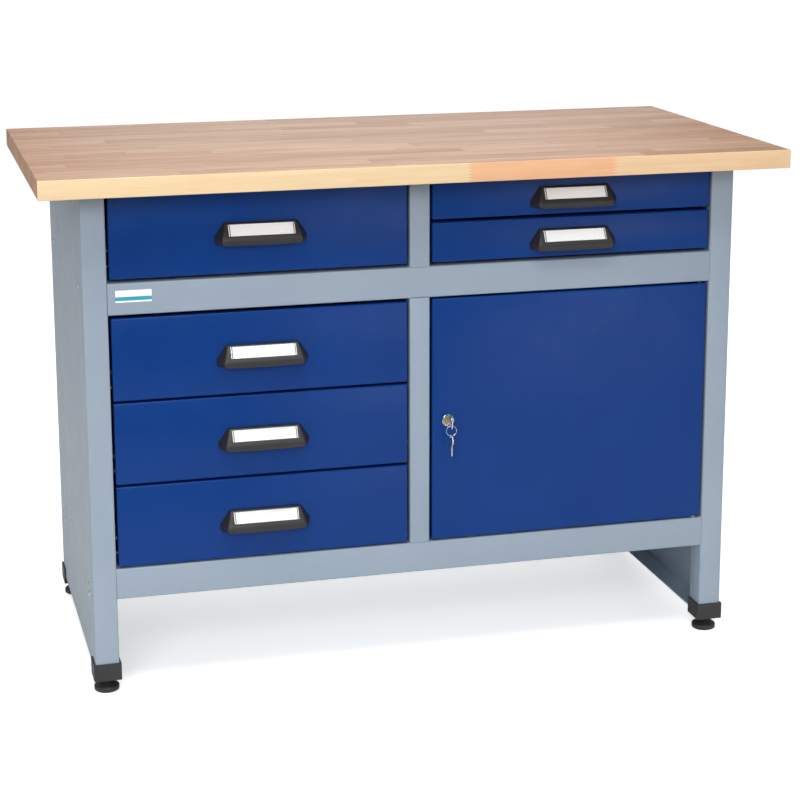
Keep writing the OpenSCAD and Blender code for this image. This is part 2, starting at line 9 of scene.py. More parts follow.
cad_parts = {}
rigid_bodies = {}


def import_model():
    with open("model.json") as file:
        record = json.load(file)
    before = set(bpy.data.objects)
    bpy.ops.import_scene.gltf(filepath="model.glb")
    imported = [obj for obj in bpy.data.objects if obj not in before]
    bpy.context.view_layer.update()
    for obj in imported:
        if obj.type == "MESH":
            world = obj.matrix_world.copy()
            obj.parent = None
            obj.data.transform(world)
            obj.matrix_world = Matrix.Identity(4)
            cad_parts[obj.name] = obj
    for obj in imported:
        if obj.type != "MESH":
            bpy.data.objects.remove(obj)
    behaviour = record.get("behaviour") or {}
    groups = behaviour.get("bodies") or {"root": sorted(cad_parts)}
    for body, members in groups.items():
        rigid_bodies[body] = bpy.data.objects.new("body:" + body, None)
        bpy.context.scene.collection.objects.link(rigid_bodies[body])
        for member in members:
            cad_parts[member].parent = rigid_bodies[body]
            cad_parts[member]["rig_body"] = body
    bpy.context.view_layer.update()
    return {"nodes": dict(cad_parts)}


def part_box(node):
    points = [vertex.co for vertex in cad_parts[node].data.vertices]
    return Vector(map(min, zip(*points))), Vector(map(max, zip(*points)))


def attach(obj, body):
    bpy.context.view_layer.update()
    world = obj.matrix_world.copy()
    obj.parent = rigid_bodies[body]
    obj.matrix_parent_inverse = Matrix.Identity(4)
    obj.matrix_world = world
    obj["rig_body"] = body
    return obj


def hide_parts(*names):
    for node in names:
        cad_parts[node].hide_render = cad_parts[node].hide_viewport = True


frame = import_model()
mm = 0.001
drawerNumbers = range(1, 7)


def linearColour(hexText):
    parts = [int(hexText[i:i + 2], 16) / 255 for i in (1, 3, 5)]
    parts = [c / 12.92 if c <= 0.04045 else ((c + 0.055) / 1.055) ** 2.4 for c in parts]
    return (*parts, 1.0)


# camera, standing in front and a little to the left, looking down on the top
viewpoint = {
    "place": (-0.8454, -3.2919, 1.3117),
    "turn": 14.863,       # degrees to the right of straight ahead
    "down": 12.524,       # degrees below the horizon
    "roll": -0.107,
    "lens": 92.0,
    "shiftY": -0.12,
}
cameraData = bpy.data.cameras.new("camera")
camera = bpy.data.objects.new("camera", cameraData)
bpy.context.scene.collection.objects.link(camera)
bpy.context.scene.camera = camera
cameraData.sensor_width = 36
cameraData.lens = viewpoint["lens"]
cameraData.shift_y = viewpoint["shiftY"]
camera.matrix_world = (
    Matrix.Translation(viewpoint["place"])
    @ Matrix.Rotation(math.radians(-viewpoint["turn"]), 4, "Z")
    @ Matrix.Rotation(math.radians(90 - viewpoint["down"]), 4, "X")
    @ Matrix.Rotation(math.radians(viewpoint["roll"]), 4, "Z")
)

# studio: a short pale floor, a lit ceiling that fades to dark at the front, and soft panels
studio = {
    "floorFront": 1.55, "floorBack": 9.0, "floorSide": 7.0,
    "floorColour": "#fbfbfa",
    "ceilingLight": 0.62, "floorGlow": 0.5, "horizonLight": 0.05, "backdropLight": 1.15,
    "panels": {
        # name: place, aimed at, size in metres, watts, colour
        "overhead": ((-0.3, -1.5, 3.1), (0, 0, 0.6), (1.6, 0.7), 30, "#ffffff"),
        "front": ((-1.5, -3.6, 2.0), (0, 0, 0.5), (2.2, 1.4), 80, "#ffffff"),
        "right": ((2.0, -4.4, 0.15), (0.3, 0, 0.5), (2.0, 0.7), 24, "#fff4ea"),
        "left": ((-3.4, 0.2, 1.2), (-0.5, 0, 0.5), (2.0, 1.8), 2, "#ffc890"),
        "rear": ((0.8, 3.4, 2.2), (0, 0, 0.5), (2.4, 1.8), 30, "#ffffff"),
    },
}


def addPanel(name, place, target, size, watts, colour):
    light = bpy.data.lights.new(name, "AREA")
    light.shape = "RECTANGLE"
    light.size, light.size_y = size
    light.energy = watts
    light.color = linearColour(colour)[:3]
    panel = bpy.data.objects.new(name, light)
    panel.location = place
    panel.rotation_euler = (Vector(target) - Vector(place)).to_track_quat("-Z", "Y").to_euler()
    bpy.context.scene.collection.objects.link(panel)


for panelName, panelLook in studio["panels"].items():
    addPanel(panelName, *panelLook)
bpy.context.scene.view_settings.view_transform = "Standard"
bpy.context.scene.view_settings.look = "None"


def addNode(tree, kind, settings=None, inputs=None, output=0):
    # one node with its settings, its colour stops, its input values or links, and the output asked for
    node = tree.nodes.new("ShaderNode" + kind)
    for key, value in (settings or {}).items():
        if key == "stops":
            ramp = node.color_ramp
            while len(ramp.elements) < len(value):
                ramp.elements.new(0.5)
            for element, (position, colour) in zip(ramp.elements, value):
                element.position = position
                element.color = linearColour(colour)
        elif key == "interpolation":
            node.color_ramp.interpolation = value
        else:
            setattr(node, key, value)
    feed(node, inputs or {})
    return node.outputs[output]


def feed(node, inputs):
    # links a socket to an input, or sets its value
    for key, value in inputs.items():
        if isinstance(value, bpy.types.NodeSocket):
            node.id_data.links.new(value, node.inputs[key])
        else:
            node.inputs[key].default_value = value


def startMaterial(name, metallic, roughness, ior=None):
    material = bpy.data.materials.new(name)
    material.use_nodes = True
    tree = material.node_tree
    shader = tree.nodes["Principled BSDF"]
    feed(shader, {"Metallic": metallic, "Roughness": roughness})
    if ior:
        shader.inputs["IOR"].default_value = ior
    add = partial(addNode, tree)
    return material, add, shader, add("TexCoord", output="Object")


def perMm(size):
    return 1 / (size * mm)


def softStops(tones):
    return tuple(zip((0.3, 0.7), tones))


# polyester powder on steel, sprayed dry and baked: satin, with a soft orange peel
framePaintLook = {
    "tones": ("#919fae", "#8c9bab"), "cloudMm": 160,
    "roughness": 0.45, "gloss": 0.5, "dustMm": 45, "peelMm": 4.0, "peelDeepMm": 0.05,
}
frontPaintLook = {
    "tones": ("#02367c", "#013377"), "cloudMm": 160,
    "roughness": 0.34, "gloss": 0.2, "dustMm": 45, "peelMm": 4.0, "peelDeepMm": 0.05,
}


def powderCoatedSteel(name, look):
    material, add, shader, place = startMaterial(name, 0.0, look["roughness"], 1.5)
    shader.inputs["Specular IOR Level"].default_value = look["gloss"]
    # the spray gun's passes leave slow changes of tone
    cloud = add("TexNoise", inputs={"Vector": place, "Scale": perMm(look["cloudMm"]), "Detail": 3.0})
    tone = add("ValToRGB", {"stops": softStops(look["tones"])}, {"Fac": cloud})
    dust = add("TexNoise", inputs={"Vector": place, "Scale": perMm(look["dustMm"]), "Detail": 4.0})
    rough = add("MapRange", inputs={
        "Value": dust, "From Min": 0.3, "From Max": 0.7,
        "To Min": look["roughness"] - 0.03, "To Max": look["roughness"] + 0.05})
    # real peel is 1-2 mm across: drawn coarser to show
    peel = add("TexNoise", inputs={"Vector": place, "Scale": perMm(look["peelMm"]), "Detail": 1.0})
    bump = add("Bump", inputs={"Height": peel, "Strength": 0.35, "Distance": look["peelDeepMm"] * mm})
    feed(shader, {"Base Color": tone, "Roughness": rough, "Normal": bump})
    return material


# European beech, glued from finger-jointed staves, sanded and oiled: pinkish tan, brown streaks
beechLook = {
    "staveMm": 41.0, "lengthMm": 330.0, "lengthSway": 0.22, "swayRate": 2.3,
    "fingerPitchMm": 5.0, "fingerMm": 9.0, "frontFaceMm": 1.2,
    "tones": ("#be977b", "#c7a186", "#ccaa90", "#c19a7e", "#d0ad94"),
    # front edge: real stave tones made far paler than the top's, painted light on the edge
    "frontStavesPaintedLit": ((0.0, "#ffe6ba"), (661.0, "#ffc89c"), (904.0, "#ffdfb4")),     # mm from the left end
    "frontGrain": 0.4,                                  # how much of the grain shows on the planed edge
    "figureMm": 9, "fineMm": 1.8, "patchMm": 30, "streakMm": 5,
    "figure": ((0.3, "#e9ded6"), (0.72, "#ffffff")), "fine": ((0.3, "#f3ebe5"), (0.62, "#ffffff")),
    "streak": "#946e55", "streakShare": 0.75, "fleck": "#b08a6e", "fleckMm": (9.0, 1.6), "joint": "#a88468",
    "roughness": 0.50, "gloss": 0.22, "grainDeepMm": 0.05,
}


def oiledBeech(name, look, low, high):
    material, add, shader, place = startMaterial(name, 0.0, look["roughness"], 1.5)
    shader.inputs["Specular IOR Level"].default_value = look["gloss"]
    x, y, z = add("SeparateXYZ", inputs={"Vector": place}).node.outputs
    # the saw-tooth of the finger joints shows on the front edge only, where the height changes
    tooth = add("Math", {"operation": "PINGPONG"}, {0: z, 1: look["fingerPitchMm"] * mm / 2})
    along = add("Math", {"operation": "MULTIPLY_ADD"}, {
        0: tooth, 1: 2 * look["fingerMm"] / look["fingerPitchMm"], 2: x})
    # rows of staves run along X; each row has its own offset and uneven lengths
    staveWide = look["staveMm"] * mm
    across = add("Math", {"operation": "MULTIPLY_ADD"}, {0: y, 1: 1 / staveWide, 2: -low.y / staveWide})
    row = add("Math", {"operation": "FLOOR"}, {0: across})
    rowChance = add("TexWhiteNoise", {"noise_dimensions": "1D"}, {"W": row}, "Value")
    rowStart = add("Math", {"operation": "MULTIPLY"}, {0: rowChance, 1: 7.0})
    evenRun = add("Math", {"operation": "MULTIPLY_ADD"}, {
        0: along, 1: perMm(look["lengthMm"]), 2: rowStart})
    turn = add("Math", {"operation": "MULTIPLY"}, {0: evenRun, 1: look["swayRate"]})
    sway = add("Math", {"operation": "SINE"}, {0: turn})
    run = add("Math", {"operation": "MULTIPLY_ADD"}, {0: sway, 1: look["lengthSway"], 2: evenRun})
    stave = add("Math", {"operation": "FLOOR"}, {0: run})
    stavePlace = add("CombineXYZ", inputs={"X": row, "Y": stave})
    chance = add("TexWhiteNoise", {"noise_dimensions": "2D"}, {"Vector": stavePlace}).node
    tones = [(i / len(look["tones"]), tone) for i, tone in enumerate(look["tones"])]
    staveTone = add("ValToRGB", {"stops": tones, "interpolation": "CONSTANT"}, {
        "Fac": chance.outputs["Value"]})
    # the front edge is cut from three staves of its own; their tones are painted far paler than the top's, a
    # painted highlight of the strong light falling on the edge
    width = high.x - low.x
    fromLeft = add("Math", {"operation": "MULTIPLY_ADD"}, {0: along, 1: 1 / width, 2: -low.x / width})
    frontLitStops = [(mark * mm / width, tone) for mark, tone in look["frontStavesPaintedLit"]]
    frontLitTone = add("ValToRGB", {"stops": frontLitStops, "interpolation": "CONSTANT"}, {"Fac": fromLeft})
    isFront = add("Math", {"operation": "LESS_THAN"}, {0: y, 1: low.y + look["frontFaceMm"] * mm})
    base = add("Mix", {"data_type": "RGBA"}, {"Factor": isFront, "A": staveTone, "B": frontLitTone}, "Result")
    # grain: each stave takes another piece of the tree, and its cells are drawn out along X
    jump = add("VectorMath", {"operation": "MULTIPLY_ADD"}, {
        0: chance.outputs["Color"], 1: (3.0, 3.0, 3.0), 2: place})
    grains = {}
    drawnOut = (("figure", 24, 3.0), ("fine", 30, 2.0), ("patch", 10, 2.0), ("streak", 70, 1.0))
    for part, longer, detail in drawnOut:
        cell = look[part + "Mm"] * mm
        spread = add("Mapping", inputs={"Vector": jump, "Scale": (1 / cell / longer, 1 / cell, 1 / cell)})
        grains[part] = add("TexNoise", inputs={"Vector": spread, "Scale": 1.0, "Detail": detail})
    amount = add("MapRange", inputs={"Value": isFront, "To Min": 1.0, "To Max": look["frontGrain"]})
    wood = base
    for part in ("figure", "fine"):
        shade = add("ValToRGB", {"stops": look[part]}, {"Fac": grains[part]})
        wood = add("Mix", {"data_type": "RGBA", "blend_type": "MULTIPLY"}, {
            "Factor": amount, "A": wood, "B": shade}, "Result")
    # long brown streaks, in patches
    line = add("MapRange", inputs={
        "Value": grains["streak"], "From Min": 0.52, "From Max": 0.61, "To Max": look["streakShare"]})
    patch = add("MapRange", inputs={"Value": grains["patch"], "From Min": 0.42, "From Max": 0.56})
    inTop = add("Math", {"operation": "SUBTRACT"}, {0: 1.0, 1: isFront})
    streak = add("Math", {"operation": "MULTIPLY"}, {0: line, 1: patch})
    streak = add("Math", {"operation": "MULTIPLY"}, {0: streak, 1: inTop})
    wood = add("Mix", {"data_type": "RGBA"}, {
        "Factor": streak, "A": wood, "B": linearColour(look["streak"])}, "Result")
    # the short flecks that mark beech
    fleckLong, fleckWide = (perMm(size) for size in look["fleckMm"])
    fleckPlace = add("Mapping", inputs={"Vector": jump, "Scale": (fleckLong, fleckWide, fleckWide)})
    cells = add("TexVoronoi", {"feature": "DISTANCE_TO_EDGE"}, {"Vector": fleckPlace, "Scale": 1.0})
    fleck = add("MapRange", inputs={
        "Value": cells, "From Min": 0.02, "From Max": 0.12, "To Min": 0.35, "To Max": 0.0})
    fleck = add("Math", {"operation": "MULTIPLY"}, {0: fleck, 1: inTop})
    wood = add("Mix", {"data_type": "RGBA"}, {
        "Factor": fleck, "A": wood, "B": linearColour(look["fleck"])}, "Result")
    # glue lines, along each row and at each joint
    lines = []
    for part, dark, thin in ((across, 0.30, 0.014), (run, 0.55, 0.0028)):
        share = add("Math", {"operation": "FRACT"}, {0: part})
        fromEdge = add("Math", {"operation": "PINGPONG"}, {0: share, 1: 0.5})
        lines.append(add("MapRange", inputs={
            "Value": fromEdge, "From Min": thin / 3, "From Max": thin, "To Min": dark, "To Max": 0.0}))
    joint = add("Math", {"operation": "MULTIPLY"}, {0: lines[1], 1: inTop})
    glue = add("Math", {"operation": "MAXIMUM"}, {0: lines[0], 1: joint})
    wood = add("Mix", {"data_type": "RGBA"}, {
        "Factor": glue, "A": wood, "B": linearColour(look["joint"])}, "Result")
    rough = add("MapRange", inputs={
        "Value": grains["fine"], "From Min": 0.3, "From Max": 0.7,
        "To Min": look["roughness"] + 0.06, "To Max": look["roughness"] - 0.04})
    bump = add("Bump", inputs={
        "Height": grains["fine"], "Strength": 0.25, "Distance": look["grainDeepMm"] * mm})
    feed(shader, {"Base Color": wood, "Roughness": rough, "Normal": bump})
    return material


# metals: rolled, turned or plated, so their sheen runs in fine lines and the plating is faintly cloudy
metalLooks = {
    "zincPlatedSteel": {"tones": ("#c9ccd0", "#b9bdc2"), "roughness": 0.34, "grainMm": (0.8, 11.2, 0.8)},
    "chromePlatedBrass": {"tones": ("#e0e1e2", "#d3d5d6"), "roughness": 0.14, "grainMm": (1.5, 1.5, 1.5)},
    "turnedBrass": {"tones": ("#d3c58f", "#bfac76"), "roughness": 0.28, "grainMm": (0.6, 0.6, 0.6)},
    "nickelPlatedKey": {"tones": ("#dcdddf", "#c9cbce"), "roughness": 0.22, "grainMm": (0.7, 7.0, 0.7)},
}


def platedMetal(name):
    look = metalLooks[name]
    material, add, shader, place = startMaterial(name, 1.0, look["roughness"])
    spread = add("Mapping", inputs={"Vector": place, "Scale": [perMm(size) for size in look["grainMm"]]})
    grain = add("TexNoise", inputs={"Vector": spread, "Scale": 1.0, "Detail": 3.0})
    cloud = add("TexNoise", inputs={"Vector": place, "Scale": perMm(9), "Detail": 2.0})
    tone = add("ValToRGB", {"stops": softStops(look["tones"])}, {"Fac": cloud})
    rough = add("MapRange", inputs={
        "Value": grain, "From Min": 0.3, "From Max": 0.7,
        "To Min": look["roughness"] - 0.05, "To Max": look["roughness"] + 0.10})
    bump = add("Bump", inputs={"Height": grain, "Strength": 0.2, "Distance": 0.01 * mm})
    feed(shader, {"Base Color": tone, "Roughness": rough, "Normal": bump})
    return material


# injection-moulded plastics from spark-eroded moulds: fine even grain, soft highlights
plasticLooks = {
    "mouldedAbs": {"tones": ("#1d1c1e", "#252426"), "roughness": 0.44, "grainMm": 1.2, "deepMm": 0.03},
    "nylonFoot": {"tones": ("#1f2021", "#272829"), "roughness": 0.52, "grainMm": 1.6, "deepMm": 0.04},
}


def mouldedPlastic(name):
    look = plasticLooks[name]
    material, add, shader, place = startMaterial(name, 0.0, look["roughness"], 1.53)
    cloud = add("TexNoise", inputs={"Vector": place, "Scale": perMm(40), "Detail": 3.0})
    tone = add("ValToRGB", {"stops": softStops(look["tones"])}, {"Fac": cloud})
    # real grain is 0.2 mm: drawn coarser to show
    grain = add("TexNoise", inputs={"Vector": place, "Scale": perMm(look["grainMm"]), "Detail": 2.0})
    rough = add("MapRange", inputs={
        "Value": grain, "From Min": 0.3, "From Max": 0.7,
        "To Min": look["roughness"] - 0.04, "To Max": look["roughness"] + 0.06})
    bump = add("Bump", inputs={"Height": grain, "Strength": 0.4, "Distance": look["deepMm"] * mm})
    feed(shader, {"Base Color": tone, "Roughness": rough, "Normal": bump})
    return material


# coated board and printed film: white, with a faint fibre, and one plain bar on the film
cardLook = {"tones": ("#f7fafa", "#fdfefe"), "roughness": 0.55, "fibreMm": 2.5, "bar": None}
plateLook = {
    "tones": ("#eef3f5", "#f7fafb"), "roughness": 0.40, "fibreMm": 2.5,
    "bar": "#2ba0b5", "barFrom": 0.14, "barTo": 0.46,     # shares of the plate's height
}


def coatedSheet(name, look, low, high):
    material, add, shader, place = startMaterial(name, 0.0, look["roughness"], 1.45)
    fibre = add("TexNoise", inputs={"Vector": place, "Scale": perMm(look["fibreMm"]), "Detail": 4.0})
    tone = add("ValToRGB", {"stops": softStops(look["tones"])}, {"Fac": fibre})
    if look["bar"]:
        height = add("SeparateXYZ", inputs={"Vector": place}, output="Z")
        foot, head = (low.z + (high.z - low.z) * look[end] for end in ("barFrom", "barTo"))
        over = add("Math", {"operation": "GREATER_THAN"}, {0: height, 1: foot})
        under = add("Math", {"operation": "LESS_THAN"}, {0: height, 1: head})
        inBar = add("Math", {"operation": "MULTIPLY"}, {0: over, 1: under})
        tone = add("Mix", {"data_type": "RGBA"}, {
            "Factor": inBar, "A": tone, "B": linearColour(look["bar"])}, "Result")
    bump = add("Bump", inputs={"Height": fibre, "Strength": 0.1, "Distance": 0.02 * mm})
    feed(shader, {"Base Color": tone, "Normal": bump})
    return material


# clear PVC, calendered or moulded: a white tone on the film and a grey tone on the bars, each partly covering
# what lies under it, are painted sheen and painted reflection, with a slow ripple
pvcPaintedSheenLooks = {
    # white tone at low cover on the clear film: painted sheen
    "filmPvc": {"tones": ("#fbfdfd", "#ffffff"), "roughness": 0.10, "cover": 0.12, "rippleMm": 14},
    # grey tone at high cover on the clear end bars: painted reflection and refraction of their edges
    "clipPvc": {"tones": ("#5d6266", "#787e82"), "roughness": 0.16, "cover": 0.80, "rippleMm": 5},
}


def clearPvc(name):
    look = pvcPaintedSheenLooks[name]
    material, add, shader, place = startMaterial(name, 0.0, look["roughness"], 1.53)
    shader.inputs["Alpha"].default_value = look["cover"]
    ripple = add("TexNoise", inputs={"Vector": place, "Scale": perMm(look["rippleMm"]), "Detail": 1.0})
    tone = add("ValToRGB", {"stops": softStops(look["tones"])}, {"Fac": ripple})
    bump = add("Bump", inputs={"Height": ripple, "Strength": 0.12, "Distance": 0.02 * mm})
    feed(shader, {"Base Color": tone, "Normal": bump})
    return material


# painted studio floor, lit from below like a light table; that light doesn't reach the object
def studioFloor(name):
    material, add, shader, place = startMaterial(name, 0.0, 0.9, 1.4)
    shader.inputs["Specular IOR Level"].default_value = 0.1
    cloud = add("TexNoise", inputs={"Vector": place, "Scale": perMm(900)})
    tone = add("ValToRGB", {"stops": ((0.0, studio["floorColour"]), (1.0, "#ffffff"))}, {"Fac": cloud})
    seenDirectly = add("LightPath", output="Is Camera Ray")
    glow = add("Math", {"operation": "MULTIPLY"}, {0: seenDirectly, 1: studio["floorGlow"]})
    feed(shader, {"Base Color": tone, "Emission Color": tone, "Emission Strength": glow})
    return material


topLow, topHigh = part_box("worktop")
plateLow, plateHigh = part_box("nameplate")
cardLow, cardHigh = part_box("drawer_1_card")
framePaint = powderCoatedSteel("powderCoatedFrame", framePaintLook)
frontPaint = powderCoatedSteel("powderCoatedFront", frontPaintLook)
beech = oiledBeech("oiledBeech", beechLook, topLow, topHigh)
zinc = platedMetal("zincPlatedSteel")
chrome = platedMetal("chromePlatedBrass")
brass = platedMetal("turnedBrass")
nickel = platedMetal("nickelPlatedKey")
blackAbs = mouldedPlastic("mouldedAbs")
nylon = mouldedPlastic("nylonFoot")
card = coatedSheet("coatedCard", cardLook, cardLow, cardHigh)
plateFilm = coatedSheet("printedFilm", plateLook, plateLow, plateHigh)
filmPvc = clearPvc("filmPvc")
clipPvc = clearPvc("clipPvc")
print("materials made:", len(bpy.data.materials))

# world: a lit ceiling that fades towards the horizon, in front of a white backdrop
world = bpy.data.worlds.new("room")
bpy.context.scene.world = world
world.use_nodes = True
roomTree = world.node_tree
roomShader = roomTree.nodes["Background"]
seen = addNode(roomTree, "LightPath", output="Is Camera Ray")
skyward = addNode(roomTree, "TexCoord", output="Generated")
height = addNode(roomTree, "SeparateXYZ", inputs={"Vector": skyward}, output="Z")
glow = addNode(roomTree, "MapRange", inputs={
    "Value": height, "From Min": 0.05, "From Max": 0.55,
    "To Min": studio["horizonLight"], "To Max": studio["ceilingLight"]})
roomStrength = addNode(roomTree, "Mix", inputs={
    "Factor": seen, "A": glow, "B": studio["backdropLight"]}, output="Result")
roomTree.links.new(roomStrength, roomShader.inputs["Strength"])
roomShader.inputs["Color"].default_value = (1, 1, 1, 1)

floorMesh = bpy.data.meshes.new("studioFloor")
floorBm = bmesh.new()
floorCorners = [(-studio["floorSide"], -studio["floorFront"]), (studio["floorSide"], -studio["floorFront"]),
                (studio["floorSide"], studio["floorBack"]), (-studio["floorSide"], studio["floorBack"])]
floorBm.faces.new([floorBm.verts.new((x, y, 0)) for x, y in floorCorners])
floorBm.to_mesh(floorMesh)
floorBm.free()
floor = bpy.data.objects.new("studioFloor", floorMesh)
floorMesh.materials.append(studioFloor("studioFloorPaint"))
bpy.context.scene.collection.objects.link(floor)


def addPiece(name, bm, material, body, standsFor=(), modifiers=(), smoothAngle=34):
    # a finished piece: its modifiers are applied, then edges sharper than smoothAngle stay crisp
    rough = bpy.data.meshes.new(name + "Rough")
    bm.to_mesh(rough)
    bm.free()
    piece = bpy.data.objects.new(name, rough)
    bpy.context.scene.collection.objects.link(piece)
    for kind, settings in modifiers:
        modifier = piece.modifiers.new(kind.lower(), kind)
        for key, value in settings.items():
            setattr(modifier, key, value)
    graph = bpy.context.evaluated_depsgraph_get()
    mesh = bpy.data.meshes.new_from_object(piece.evaluated_get(graph))
    piece.modifiers.clear()
    piece.data = mesh
    bpy.data.meshes.remove(rough)
    mesh.name = name
    mesh.materials.clear()
    mesh.materials.append(material)
    mesh.shade_smooth()
    mesh.set_sharp_from_angle(angle=math.radians(smoothAngle))
    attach(piece, body)
    if standsFor:
        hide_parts(*standsFor)
    return piece


def bodyOf(node):
    return frame["nodes"][node]["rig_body"]


def looseParts(node):
    # the box of each separate solid in a node
    bm = bmesh.new()
    bm.from_mesh(frame["nodes"][node].data)
    bmesh.ops.remove_doubles(bm, verts=bm.verts, dist=1e-6)
    found, seen = [], set()
    for first in bm.verts:
        if first in seen:
            continue
        seen.add(first)
        queue = [first]
        low, high = first.co.copy(), first.co.copy()
        while queue:
            vert = queue.pop()
            low = Vector(map(min, low, vert.co))
            high = Vector(map(max, high, vert.co))
            for edge in vert.link_edges:
                other = edge.other_vert(vert)
                if other not in seen:
                    seen.add(other)
                    queue.append(other)
        found.append((low, high))
    bm.free()
    return found


def roundedPath(corners, steps=5):
    # corners are (a, b, radius); the first and last stay as they are
    path = [Vector(corners[0][:2])]
    for before, here, after in zip(corners, corners[1:], corners[2:]):
        point, radius = Vector(here[:2]), here[2]
        if radius == 0:
            path.append(point)
            continue
        back = (Vector(before[:2]) - point).normalized()
        on = (Vector(after[:2]) - point).normalized()
        half = back.angle(on) / 2
        centre = point + (back + on).normalized() * radius / math.sin(half)
        first = point + back * radius / math.tan(half) - centre
        last = point + on * radius / math.tan(half) - centre
        start = math.atan2(first.y, first.x)
        sweep = (math.atan2(last.y, last.x) - start + math.pi) % (2 * math.pi) - math.pi
        for i in range(steps + 1):
            turn = start + sweep * i / steps
            path.append(centre + Vector((math.cos(turn), math.sin(turn))) * radius)
    path.append(Vector(corners[-1][:2]))
    return path


def addStrip(bm, path, axis, levels):
    # a strip of sheet: the path lies across the axis, and the strip runs through the levels
    order = {
        "X": lambda a, b, c: (c, a, b),
        "Y": lambda a, b, c: (a, c, b),
        "Z": lambda a, b, c: (a, b, c),
    }
    rows = [[bm.verts.new(order[axis](*point, level)) for point in path] for level in levels]
    for lower, upper in zip(rows, rows[1:]):
        for i in range(len(path) - 1):
            bm.faces.new((lower[i], lower[i + 1], upper[i + 1], upper[i]))


def closeSheet(bm, inside):
    # joins the strips and turns every face away from a point inside the fold
    bmesh.ops.remove_doubles(bm, verts=bm.verts, dist=1e-5)
    bmesh.ops.recalc_face_normals(bm, faces=bm.faces)
    largest = max(bm.faces, key=lambda face: face.calc_area())
    if largest.normal.dot(largest.calc_center_median() - Vector(inside)) < 0:
        bmesh.ops.reverse_faces(bm, faces=bm.faces)


def boxInto(bm, low, high):
    bmesh.ops.create_cube(bm, size=1)
    for vert in bm.verts:
        vert.co = Vector(l + (h - l) * (c + 0.5) for l, h, c in zip(low, high, vert.co))


def sheetModifiers(thickness):
    return [
        ("SOLIDIFY", {"thickness": thickness, "offset": -1.0, "use_even_offset": True}),
        ("BEVEL", {"width": 0.3 * mm, "segments": 2, "limit_method": "ANGLE",
                   "angle_limit": math.radians(50)}),
    ]


# frame: folded from 1.5 mm sheet with a 2.5 mm bend
frameSheet = {"thick": 1.5 * mm, "bend": 2.5 * mm, "postDeep": 40 * mm,
              "railHigh": 50 * mm, "hiddenInCaps": 10 * mm}


def addFrameSheet(node, bm):
    addPiece(node + "Sheet", bm, framePaint, bodyOf(node), [node],
             sheetModifiers(frameSheet["thick"]))


def sidePiece(node, side):
    low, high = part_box(node)
    skin = low.x if side < 0 else high.x
    inner = high.x if side < 0 else low.x
    bend, deep = frameSheet["bend"], frameSheet["postDeep"]
    # the skin's lower edge, hidden in the caps at the posts
    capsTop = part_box("foot_caps")[0].z + frameSheet["hiddenInCaps"]
    bm = bmesh.new()
    for edge, inwards in ((low.y, 1), (high.y, -1)):
        path = roundedPath([
            (inner, edge + inwards * deep, 0), (inner, edge, bend), (skin, edge, bend),
            (skin, edge + inwards * deep, 0)])
        addStrip(bm, path, "Z", (capsTop, capsTop + bend, high.z - bend, high.z))
    skinPath = [Vector((skin, low.y + deep)), Vector((skin, high.y - deep))]
    addStrip(bm, skinPath, "Z", (capsTop + bend, high.z - bend))
    for edge, inwards in ((capsTop, 1), (high.z, -1)):
        lipPath = roundedPath([
            (skin, edge + inwards * bend, 0), (skin, edge, bend * 0.999), (inner, edge, 0)])
        addStrip(bm, lipPath, "Y", (low.y + deep, high.y - deep))
    closeSheet(bm, (0, 0, 0.4))
    addFrameSheet(node, bm)


def trayPiece(node, frontLow):
    # rail, plate, lower lip and rear flange in one piece, with wings into the side frames
    low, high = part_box(node)
    bend, deep = frameSheet["bend"], frameSheet["postDeep"]
    sideLow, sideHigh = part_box("left_side")
    railEnd = -sideHigh.x
    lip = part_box("door")[1].y
    bm = bmesh.new()
    path = roundedPath([
        (lip, frontLow, 0), (low.y, frontLow, bend), (low.y, high.z, bend), (sideLow.y + deep, high.z, 0),
        (sideHigh.y - deep, high.z, 0), (high.y, high.z, bend), (high.y, low.z, 0)])
    addStrip(bm, path, "X", (-railEnd, railEnd))
    for side in (-1, 1):
        wing = roundedPath([
            (side * railEnd, high.z, 0), (side * high.x, high.z, bend), (side * high.x, low.z, 0)])
        addStrip(bm, wing, "Y", (sideLow.y + deep, sideHigh.y - deep))
    closeSheet(bm, (0, 0, low.z - 0.3))
    addFrameSheet(node, bm)


def partitionPiece(node, slot=None):
    low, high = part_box(node)
    bend, deep = frameSheet["bend"], frameSheet["postDeep"]
    slotLow, slotHigh = slot or (low, low)
    corners = [(low.x, low.y + deep, 0), (low.x, low.y, bend), (high.x, low.y, bend)]
    levels = [low.z, high.z]
    if slot:
        corners += [(high.x, slotLow.y, 0), (high.x, slotHigh.y, 0)]
        levels[1:1] = [slotLow.z, slotHigh.z]
    corners += [(high.x, high.y, bend), (low.x, high.y, bend), (low.x, high.y - deep, 0)]
    bm = bmesh.new()
    addStrip(bm, roundedPath(corners), "Z", levels)
    if slot:
        middle = (slotLow + slotHigh) / 2
        hole = Vector((high.x, middle.y, middle.z))
        gap = [f for f in bm.faces if (f.calc_center_median() - hole).length < 1e-4]
        bmesh.ops.delete(bm, geom=gap, context="FACES")
    closeSheet(bm, (0, 0, (low.z + high.z) / 2))
    addFrameSheet(node, bm)


def rearRailPiece(node):
    low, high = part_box(node)
    bm = bmesh.new()
    path = roundedPath([(low.y, high.z, 0), (high.y, high.z, frameSheet["bend"]), (high.y, low.z, 0)])
    addStrip(bm, path, "X", (low.x, high.x))
    closeSheet(bm, (0, low.y, low.z))
    addFrameSheet(node, bm)


